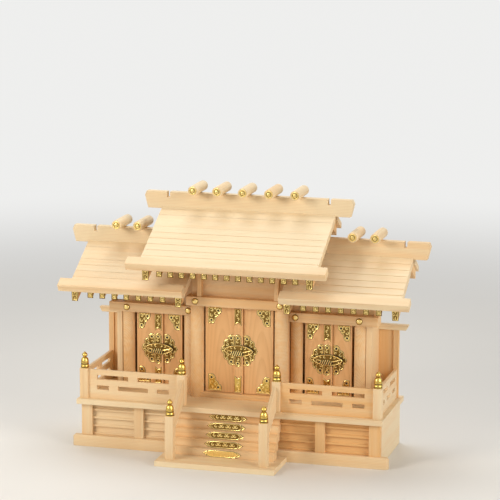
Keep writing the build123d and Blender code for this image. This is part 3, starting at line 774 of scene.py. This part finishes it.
def as_piece(name, shapes, body, *nodes, slot="gold_metal", smooth=math.radians(35)):
    """Turns gathered shapes into a piece of metalwork that rides on a body."""
    mesh = bpy.data.meshes.new(name)
    shapes.to_mesh(mesh)
    shapes.free()
    for material in gilding:
        mesh.materials.append(material)
    mesh.polygons.foreach_set("use_smooth", [True] * len(mesh.polygons))
    mesh.set_sharp_from_angle(angle=smooth)
    piece = bpy.data.objects.new(name, mesh)
    bpy.context.scene.collection.objects.link(piece)
    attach(piece, body)
    if nodes:
        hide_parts(*nodes)
    return piece


print("kit ready")

# %% [markdown]
# ## Corner plates of the doors
# Each leaf has a plate in its two outer corners: a right angle against the edges, and an
# inner side of lobes with a pierced hole in the lobe at each end. A thin near-black band round it
# is a painted shadow at the plate's edge. The scrolls are wide raised lines on the ground, which is
# dull on the upper plates and yellow on the lower ones. The plate is drawn once and turned for each corner.

# %% Corner plate
sheet_metal = 0.8
ground_level = 0.42
scroll_width = 2.0
scroll_pitch = 3.4
plate_edge = 0.6


def scrollwork(plate, scrolls, base=0.0):
    """Wide raised scrolls with the dark ground between their turns.

    Each scroll is its middle, first angle, hand and outer radius.
    """
    for u, v, start, hand, size in scrolls:
        path = spiral((u, v), start, hand * size / scroll_pitch, size, 0.5, 22)
        plate.ribbon(path, scroll_width, base + ground_level - 0.1, base + sheet_metal, BRIGHT, 0.6)


def pressed_plate(plate, outline, base=0.0, width=1.3, ground=DULL):
    """A sunk plate on a near-black one whose thin edge is a painted shadow, with a bright raised rim."""
    plate.plate(outline, base, base + 0.2, PAINTED_SHADE, 0.05)
    face = inset(outline, plate_edge)
    plate.plate(face, base + 0.15, base + ground_level, ground)
    plate.rim(face, 0.85 * width, base + 0.2, base + sheet_metal - 0.1)


def corner_plate(width, height, ground):
    """A filled corner plate with shallow lobes, its right angle at the origin."""
    plate = Pressing()
    lobe = 0.25 * width
    ends = ((width - lobe, 0.21 * height), (lobe, height - lobe))
    core = [(0, 0), (width, 0), (width, 0.26 * height), (0.66 * width, 0.5 * height),
            (0.42 * width, 0.84 * height), (0.34 * width, height), (0, height)]
    discs = [(*ends[0], lobe), (*ends[1], 1.1 * lobe), (0.58 * width, 0.44 * height, 0.2 * width),
             (0.38 * width, 0.7 * height, 0.2 * width)]
    outline = lobed((0.3 * width, 0.3 * height), core, discs)
    pressed_plate(plate, [Vector((max(p.x, 0), max(p.y, 0))) for p in outline], ground=ground)
    w, h = width, height
    scrollwork(plate, [(0.26 * w, 0.2 * h, 220, 1, 3.2), (0.55 * w, 0.38 * h, 30, 1, 2.9),
                       (0.26 * w, 0.5 * h, 250, -1, 3.0), (0.53 * w, 0.14 * h, 180, 1, 2.0)])
    for u, v in ends:
        plate.hole(u, v, 1.9, ground_level)
    return plate


# %% [markdown]
# ## Medallion and latch
# The meeting line of each pair carries a large lobed medallion with pointed sides, and over
# it a lens-shaped latch: scrolls in a hollow darkened with painted shade, a bright lip that curves
# like a smile, and slanting ribs below it with painted shade between them. The closing stile
# belongs to the left leaf, so both are cut beside it and each half rides on its leaf. The latch is
# drawn whole and then cut, which is why it isn't a tree of nodes.

# %% Medallion and latch
meeting_left, meeting_right = 7.0, 7.8
stile_front = 3.5
latch_front = 6.8
skirt_middle = (-2.8, -4.0)
skirt_size = (11.8, 4.3)
rib_count, rib_pitch = 6, 3.5
lens_size = (25.0, 9.8)
latch_scrolls = ((4.6, 4.5, 2.4), (11.0, 4.5, 2.3), (17.0, 3.9, 1.6), (17.0, -2.9, 1.4))


def medallion_outline(half, rise):
    """A rounded diamond with shallow lobes and a pointed tip at each side."""
    quarter = [(half, 0), (0.86 * half, 0.2 * rise), (0.7 * half, 0.46 * rise), (0.48 * half, 0.74 * rise),
               (0.26 * half, 0.93 * rise)]
    core = quarter + [(-u, v) for u, v in reversed(quarter)]
    core += [(u, -v) for u, v in list(reversed(core))[1:-1]]
    discs = [(side * 0.4 * half, way * 0.68 * rise, 0.27 * rise) for side in (-1, 1) for way in (-1, 1)]
    discs += [(side * 0.64 * half, way * 0.4 * rise, 0.24 * rise) for side in (-1, 1) for way in (-1, 1)]
    discs += [(side * 0.8 * half, way * 0.1 * rise, 0.17 * rise) for side in (-1, 1) for way in (-1, 1)]
    discs += [(0, way * 0.7 * rise, 0.3 * rise) for way in (-1, 1)]
    return lobed((0, 0), core, discs)


def medallion_half(half, rise, side):
    """The half of the medallion on one leaf."""
    plate = Pressing()
    outline = medallion_outline(half, rise)
    pressed_plate(plate, kept_side(outline, side * meeting_right, side))
    for way in (-1, 1):
        scrollwork(plate, [(side * 20.2, way * 0.3 * rise, 90 * way, side * way, 2.9),
                           (side * 12.4, way * 0.42 * rise, -90 * way, -side * way, 2.8),
                           (side * 26.4, way * 0.13 * rise, 0, side * way, 2.2)])
        plate.hole(side * 13.2, way * 0.73 * rise, 2.0, ground_level)
        plate.hole(side * 20.4, way * 0.53 * rise, 1.2, ground_level)
    return plate


def lens_outline(half, rise, steps=40):
    """A pointed lens, wider than tall."""
    upper = [Vector((half * math.cos(math.pi * k / steps), rise * math.sin(math.pi * k / steps) ** 1.25))
             for k in range(steps)]
    return upper + [Vector((-p.x, -p.y)) for p in upper]


def latch():
    """The lens-shaped latch: a bright lip, ribs below it and scrolls in the hollow."""
    piece = Pressing()
    outline = lens_outline(*lens_size)
    ground = latch_front - 1.7
    piece.plate(inset(outline, 1.2), 0.6, stile_front + 0.3, DULL)
    # painted shade: a near-black layer whose edge darkens the hollow
    piece.plate(outline, stile_front + 0.2, ground - 0.4, PAINTED_SHADE, 0.2)
    piece.plate(inset(outline, 0.6), ground - 0.5, ground, DULL, 0.1)
    piece.rim(inset(outline, 0.6), 1.3, ground - 0.1, latch_front - 0.7)
    smile = [Vector((u, 2.4 - 5.0 * (1 - (u / 22.0) ** 2))) for u in range(-22, 23, 2)]
    piece.ribbon(smile, 3.2, ground - 0.1, latch_front - 0.4, BRIGHT, 0.25, (0.55, 0.8))
    skirt = [Vector((p.x + skirt_middle[0], p.y + skirt_middle[1])) for p in lens_outline(*skirt_size)]
    # painted shade between the ribs
    piece.plate(skirt, ground - 0.1, latch_front - 0.35, PAINTED_SHADE, 0.1)
    for k in range(rib_count):
        off = (k - (rib_count - 1) / 2) * rib_pitch
        reach = skirt_size[1] * (1 - (off / skirt_size[0]) ** 2) ** 0.6 + 0.5
        middle = Vector((skirt_middle[0] + off, skirt_middle[1]))
        lean = Vector((0.42 * reach, reach))
        piece.ribbon([middle - lean, middle, middle + lean], 1.9, latch_front - 0.5, latch_front,
                     BRIGHT, 0.7)
    for side in (-1, 1):
        for u, v, size in latch_scrolls:
            scroll = spiral((side * u, v), 90, -side * size / scroll_pitch, size, 0.4)
            piece.ribbon(scroll, 1.5, ground - 0.1, latch_front - 0.7)
    return piece


# %% [markdown]
# ## Strips on the closing stile
# The stile has a strip at its top and bottom, square at the outer end and cut to a double
# curve at the inner end, and a narrow plate behind the latch with a lobe at each end.

# %% Stile strips
def stile_strip(width, height, ground):
    """A strip with its square end at v = 0 and an arched, notched inner end."""
    half = width / 2
    plate = Pressing()
    arch = [(half, height), (0.55 * half, height - 2.2), (0, height - 4.6), (-0.55 * half, height - 2.2),
            (-half, height)]
    outline = [Vector(p) for p in [(-half, 0), (half, 0), *arch]]
    pressed_plate(plate, outline, stile_front, 1.0, ground)
    scrollwork(plate, [(0, v, 90, way, 2.5) for v, way in ((4.6, -1), (10.6, 1), (16.6, -1))], stile_front)
    return plate


def stile_middle(width, rise):
    """The narrow plate behind the latch, with a pierced lobe above and below."""
    half = width / 2
    plate = Pressing()
    core = [(half, 0.72 * rise), (-half, 0.72 * rise), (-half, -0.72 * rise), (half, -0.72 * rise)]
    discs = [(0, way * (rise - half), half) for way in (-1, 1)]
    outline = lobed((0, 0), core, discs)
    pressed_plate(plate, outline, stile_front, 1.0)
    for way in (-1, 1):
        plate.hole(0, way * (rise - half), 1.8, stile_front + ground_level)
    scrollwork(plate, [(0, way * 0.54 * rise, 90, way, 2.6) for way in (-1, 1)], stile_front)
    return plate


print("strips lie", stile_front, "mm in front of the leaf")

# %% [markdown]
# ## Fitting the doors
# The fittings of a leaf are drawn for its width, set at its corners and at the meeting line,
# and joined into one piece, which replaces the plain plates of the solid. The heights are read
# from those plates, so the metal lies where the solid has it.

# %% Fit the doors
# middle and half width of a pair, medallion rise, corner plate width and height, and its margin
bay_facts = {
    "left": (-142.0, 38.5, 25.8, 20.0, 26.0, 3.0),
    "centre": (0.0, 56.5, 26.8, 22.6, 27.5, 4.6),
    "right": (142.0, 38.5, 25.8, 20.0, 26.0, 3.0),
}
medallion_width = 31.0
strip_width, strip_height = 11.4, 28.0
strip_shift = -1.2

fitted = 0
for bay, (middle, outer, rise, plate_width, plate_height, margin) in bay_facts.items():
    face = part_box(f"door_{bay}_right_leaf")[0].y
    bottom, top = (corner.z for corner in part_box(f"door_{bay}_right_fittings"))
    heart = Vector((middle / 1000, face, (bottom + top) / 2))
    for side, hand in ((-1, "left"), (1, "right")):
        metal = bmesh.new()
        edge_x = (middle + side * (outer - margin)) / 1000
        for corner_z, up, ground in ((bottom, 1, PLAIN), (top, -1, DULL)):
            plate = corner_plate(plate_width, plate_height, ground)
            plate.settle(metal, Vector((edge_x, face, corner_z)), -side, up)
        medallion_half(medallion_width, rise, side).settle(metal, heart)
        clasp = latch()
        clasp.cut(meeting_left if side < 0 else meeting_right, side)
        clasp.settle(metal, heart)
        if side < 0:
            for strip_z, up, ground in ((bottom, 1, PLAIN), (top, -1, DULL)):
                foot = Vector((heart.x + strip_shift / 1000, face, strip_z))
                stile_strip(strip_width, strip_height, ground).settle(metal, foot, 1, up)
            stile_middle(strip_width, rise).settle(metal, heart + Vector((strip_shift / 1000, 0, 0)))
        name = f"door_{bay}_{hand}_fittings"
        as_piece(name + "_chased", metal, f"door_{bay}_{hand}", name)
        fitted += 1
print("door fittings:", fitted)

# %% [markdown]
# ## Caps, bosses and finials
# The same cap is repeated along every roof edge, so it is made once and set at each place by
# Geometry Nodes. The tree takes a mesh of places, the bright part and the dark part of the
# cap, the length of one unit that they are drawn in, and a finish for each. Instances are made
# real at the end so that the result is a plain mesh.

# %% A tree that sets a piece at every place
def setting_tree():
    """Places on the input mesh each receive a bright part and a dark part."""
    tree = bpy.data.node_groups.new("set_at_places", "GeometryNodeTree")
    for label, kind in (("Places", "NodeSocketGeometry"), ("Bright part", "NodeSocketObject"),
                        ("Dark part", "NodeSocketObject"), ("Unit length", "NodeSocketFloat"),
                        ("Bright finish", "NodeSocketMaterial"), ("Dark finish", "NodeSocketMaterial")):
        tree.interface.new_socket(label, in_out="INPUT", socket_type=kind)
    tree.interface.new_socket("Pieces", in_out="OUTPUT", socket_type="NodeSocketGeometry")
    given = tree.nodes.new("NodeGroupInput")
    joined = tree.nodes.new("GeometryNodeJoinGeometry")
    for part, look in (("Bright part", "Bright finish"), ("Dark part", "Dark finish")):
        info = node(tree, "GeometryNodeObjectInfo", {"Object": given.outputs[part]})
        copies = node(tree, "GeometryNodeInstanceOnPoints",
                      {"Points": given.outputs["Places"], "Instance": info.outputs["Geometry"],
                       "Scale": given.outputs["Unit length"]})
        real = node(tree, "GeometryNodeRealizeInstances", {"Geometry": copies.outputs[0]})
        coated = node(tree, "GeometryNodeSetMaterial",
                      {"Geometry": real.outputs[0], "Material": given.outputs[look]})
        tree.links.new(coated.outputs[0], joined.inputs[0])
    node(tree, "NodeGroupOutput", {0: joined.outputs[0]})
    return tree


settings = setting_tree()


print("tree:", settings.name, "inputs:", [item.name for item in settings.interface.items_tree
                                          if item.in_out == "INPUT"])

# %% Run the tree
millimetre = 0.001


def socket_of(tree, label):
    """The identifier of a named input."""
    return next(item.identifier for item in tree.interface.items_tree if item.name == label)


def hidden_part(name, shapes, material):
    """One part of a cap as an object, for the tree to copy."""
    bmesh.ops.recalc_face_normals(shapes, faces=shapes.faces)
    mesh = bpy.data.meshes.new(name)
    shapes.to_mesh(mesh)
    shapes.free()
    mesh.materials.append(material)
    part = bpy.data.objects.new(name, mesh)
    bpy.context.scene.collection.objects.link(part)
    return part


def set_at(places, bright, dark, shade=pierced, face=gold):
    """Runs the tree over places and gives the plain mesh."""
    spots = bpy.data.meshes.new("places")
    spots.from_pydata(places, [], [])
    carrier = bpy.data.objects.new("places", spots)
    bpy.context.scene.collection.objects.link(carrier)
    parts = [hidden_part("bright_part", bright, face), hidden_part("dark_part", dark, shade)]
    modifier = carrier.modifiers.new("set", "NODES")
    modifier.node_group = settings
    given = {"Bright part": parts[0], "Dark part": parts[1], "Unit length": millimetre,
             "Bright finish": face, "Dark finish": shade}
    for label, value in given.items():
        modifier[socket_of(settings, label)] = value
    evaluated = carrier.evaluated_get(bpy.context.evaluated_depsgraph_get())
    result = bpy.data.meshes.new_from_object(evaluated)
    carrier.modifiers.remove(modifier)
    for spare in (carrier, *parts):
        bpy.data.objects.remove(spare)
    return result


def joined_piece(name, meshes, body, replaced):
    """Joins plain meshes into one piece that stands for a node."""
    shapes = bmesh.new()
    for mesh in meshes:
        shades = [gilding.index(material) for material in mesh.materials]
        first = len(shapes.faces)
        shapes.from_mesh(mesh)
        shapes.faces.ensure_lookup_table()
        for face in shapes.faces[first:]:
            face.material_index = shades[min(face.material_index, len(shades) - 1)]
        bpy.data.meshes.remove(mesh)
    return as_piece(name, shapes, body, replaced)


print("one drawn unit is", millimetre, "m")

# %% Turned parts and their seats
def facing_front(drawing):
    """The shapes of a drawing, with w turned to the front and v upwards."""
    for vert in drawing.shapes.verts:
        u, v, w = vert.co
        vert.co = Vector((u, -w, v))
    return drawing.shapes


def turned(profile, sides=24, upright=False):
    """A shape turned about a line to the front, or about an upright line, in millimetres."""
    drawing = Pressing()
    drawing.boss(0, 0, profile, BRIGHT, sides)
    return drawing.shapes if upright else facing_front(drawing)


def seats(name):
    """Where each shell of a node sits: the middle of its rear face or its foot, and its size."""
    found = []
    for part in shells(name):
        low, high = span(part)
        middle = (low + high) / 2
        found.append({"back": Vector((middle.x, high.y, middle.z)),
                      "foot": Vector((middle.x, middle.y, low.z)),
                      "size": tuple(round(1000 * (high - low)[axis], 1) for axis in (0, 2, 1))})
        part.free()
    return found


cover_places = [seat["back"] for seat in seats("nail_covers")]
log_places = [seat["back"] for seat in seats("log_caps")]
post_places = [seat["foot"] for seat in seats("newel_finials")]
print("nail covers:", len(cover_places), "log caps:", len(log_places), "posts:", len(post_places))

# %% Nail covers and log caps
cover = turned([(4.5, 0.0), (4.5, 1.0), (4.2, 1.5), (3.5, 2.0), (2.5, 2.35), (1.4, 2.55), (0.4, 2.6)])
# the dull disc under the cover shows as a dark ring: partly dull metal, partly painted shade at the cover's
# edge
groove = turned([(5.3, 0.0), (5.3, 0.7), (5.0, 0.95), (4.3, 1.0)])
covers = set_at(cover_places, cover, groove, dull_and_shaded_gold)
joined_piece("nail_covers_turned", [covers], "shrine", "nail_covers")
disc = turned([(6.4, 0.0), (6.4, 0.5), (6.1, 1.0), (5.2, 1.15), (4.4, 0.95), (4.1, 0.5), (3.3, 0.5),
               (3.1, 0.9), (2.2, 1.15), (0.4, 1.2)])
# the sunk ring is dull metal, partly painted shade in the recess
sunk = turned([(4.2, 0.2), (4.2, 0.66), (3.1, 0.68)])
log_ends = set_at(log_places, disc, sunk, dull_and_shaded_gold)
joined_piece("log_caps_turned", [log_ends], "shrine", "log_caps")
print("covers and log caps set")

# %% [markdown]
# ## Finials
# The finial is spun from sheet metal: a banded skirt, a shoulder, a narrow neck and an onion
# with a drawn-out tip. A profile turned about an upright line is how the real one is made, and
# three near-black bands in its grooves are painted shade.

# %% Finials
onion = turned([(7.0, 0.0), (7.0, 1.2), (6.4, 1.5), (6.4, 2.2), (6.9, 2.6), (6.9, 3.4), (6.6, 3.8), (6.5, 6.3),
                (6.1, 6.6), (6.1, 7.4), (6.5, 7.7), (6.4, 10.0), (6.1, 12.2), (5.5, 14.4), (4.7, 16.1),
                (3.6, 17.3), (2.5, 17.7), (2.5, 18.5), (3.3, 18.8), (4.1, 19.9), (4.4, 21.2), (4.1, 22.6),
                (3.2, 24.0), (1.9, 25.2), (0.8, 26.3), (0.2, 27.0)], 32, True)
groove_shade_bands = Pressing()
for radius, low, high in ((6.46, 1.45, 2.25), (6.2, 6.55, 7.45), (2.6, 17.65, 18.55)):
    groove_shade_bands.boss(0, 0, [(radius, low), (radius, high)], BRIGHT, 32)
finials = set_at(post_places, onion, groove_shade_bands.shapes, pierced, brass)
joined_piece("newel_finials_turned", [finials], "shrine", "newel_finials")
print("finials set:", len(post_places))

# %% [markdown]
# ## Rafter caps
# Every rafter end in front has a square cap with a dark outline, a raised border and a boss,
# and the end rafters, which are larger, have caps chased with scrolls. The places and sizes are
# read from the solids, so a cap always covers its own rafter.

# %% Rafter caps
def square_cap(width, height, depth, chased):
    """The bright and the dark part of a cap with a boss or with scrolls, in millimetres."""
    cap, field = Pressing(), Pressing()
    half_w, half_h = width / 2, height / 2
    foot = half_w - (0.9 if chased else 0)
    outline = [Vector(p) for p in ((-foot, -half_h), (foot, -half_h), (half_w, half_h), (-half_w, half_h))]
    # the dull field shows as a dark outline round the border: partly dull metal, partly painted shade at the
    # edge
    field.plate(outline, 0.0, depth - 0.5)
    low, high = depth - 0.55, depth - 0.05
    if chased:
        cap.rim(inset(outline, 1.0), 0.9, low, high)
        for side in (-1, 1):
            scroll = spiral((side * 2.1, 0.2 * half_h), 90, side * -1.0, 2.3, 0.5)
            cap.ribbon(scroll, 1.4, low, high, BRIGHT, 0.6)
        cap.ribbon([Vector((0, share * half_h)) for share in (-0.78, -0.5, -0.2)], 2.2, low, high)
        cap.boss(0, 0.66 * half_h, [(1.3, low), (1.1, high - 0.1), (0.5, high)], BRIGHT, 10)
    else:
        cap.rim(inset(outline, 1.5), 0.8, low, high - 0.1)
        cap.boss(0, 0, [(2.0, low), (1.8, high - 0.1), (0.9, high)], BRIGHT, 12)
    return facing_front(cap), facing_front(field)


chased_from = 10.5
rows = {}
for seat in seats("rafter_caps"):
    rows.setdefault(seat["size"], []).append(seat["back"])
capped = []
for (width, height, depth), places in sorted(rows.items()):
    bright, dark = square_cap(width, height, depth, width > chased_from)
    capped.append(set_at(places, bright, dark, dull_and_shaded_gold))
joined_piece("rafter_caps_chased", capped, "shrine", "rafter_caps")
print("rafter cap sizes:", {size: len(places) for size, places in rows.items()})

# %% [markdown]
# ## Plates on the stair
# Each riser has a long plate with arrowheads beyond a notch, three pierced dots near each tip
# and a row of scrolls. The lowest one is plain bright metal. They lie on the risers, whose
# places are read from the steps, and their outline is a quarter that is mirrored twice.

# %% Stair plates
riser_plate_half, riser_plate_rise = 32.0, 5.7
riser_plate_drop = 0.5
step_count = 5


def stair_plate(plain):
    """A long plate that ends in an arrowhead beyond a notch, its middle at the origin."""
    plate = Pressing()
    half, rise = riser_plate_half, riser_plate_rise
    quarter = [(1.0, 0.0), (0.87, 0.5), (0.765, 0.9), (0.715, 0.68), (0.67, 0.86), (0.61, 1.0)]
    upper = quarter + [(-u, v) for u, v in reversed(quarter)]
    lower = [(u, -v) for u, v in reversed(upper[1:-1])]
    outline = [Vector((half * u, rise * v)) for u, v in upper + lower]
    pressed_plate(plate, outline, 0.0, 0.9, BRIGHT if plain else DULL)
    for side in (-1, 1):
        for u, v in ((0.86 * half, 0), (0.76 * half, 0.42 * rise), (0.76 * half, -0.42 * rise)):
            plate.hole(side * u, v, 0.9, ground_level)
    if not plain:
        scrollwork(plate, [(5.7 * k, 0, 90, 1 if k % 2 else -1, 2.9) for k in range(-3, 4)])
    return plate


for k in range(1, step_count + 1):
    low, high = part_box(f"stair_step_{k}")
    metal = bmesh.new()
    middle_z = (low.z + high.z) / 2 - riser_plate_drop / 1000
    stair_plate(k == 1).settle(metal, Vector((0, low.y, middle_z)))
    as_piece(f"stair_plate_{k}", metal, "shrine")
print("stair plates:", step_count)
